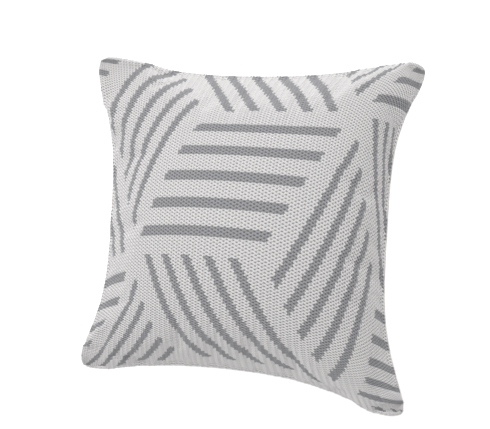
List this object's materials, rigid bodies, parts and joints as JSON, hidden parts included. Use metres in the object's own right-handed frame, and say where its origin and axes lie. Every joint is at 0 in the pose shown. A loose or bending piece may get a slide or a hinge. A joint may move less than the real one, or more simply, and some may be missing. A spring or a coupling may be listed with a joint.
{
  "type": "throw pillow",
  "caption": "Square knitted throw pillow: jacquard front, plain back, hidden zip in the back, and a fibre-filled insert inside the cover.",
  "frame": {"origin": "middle of the object's base, where the pillow rests on its back", "axes": "+Z through the thickness, out of the patterned front; +Y towards the pattern's top edge; +X towards its right edge"},
  "size_m": [0.444, 0.444, 0.1663],
  "materials": {
    "knit_front": "chunky cotton jacquard knit, off-white with grey stripes",
    "knit_back": "plain off-white cotton knit",
    "thread": "spun polyester sewing thread",
    "zip_tape": "woven polyester tape",
    "zip_coil": "nylon coil",
    "zip_metal": "nickel-plated zinc",
    "lining": "white cotton casing",
    "fibre": "polyester fibre filling",
    "label": "blank satin label"
  },
  "bodies": {
    "cushion": {"cover_front": "knit_front", "cover_back": "knit_back", "overlock_thread_top": "thread", "overlock_thread_left": "thread", "overlock_thread_bottom": "thread", "overlock_thread_right": "thread", "zipper_tape_front": "zip_tape", "zipper_tape_back": "zip_tape", "zipper_coil_front": "zip_coil", "zipper_coil_back": "zip_coil", "zipper_top_stop_front": "zip_metal", "zipper_top_stop_back": "zip_metal", "zipper_bottom_stop": "zip_metal", "insert_shell_front": "lining", "insert_shell_back": "lining", "insert_closing_thread": "thread", "insert_filling": "fibre", "care_label": "label"},
    "slider": {"zipper_slider": "zip_metal"},
    "pull": {"zipper_pull": "zip_metal"}
  },
  "joints": [
    {"name": "zip_slide", "type": "slide", "parent": "cushion", "child": "slider", "axis": [1, 0, 0], "range_m": [0, 0.268]},
    {"name": "pull_hinge", "type": "hinge", "parent": "slider", "child": "pull", "pos_m": [-0.134, -0.19766, 0.06693], "axis": [0, 0.309, -0.9511], "range_deg": [0, 170]}
  ]
}
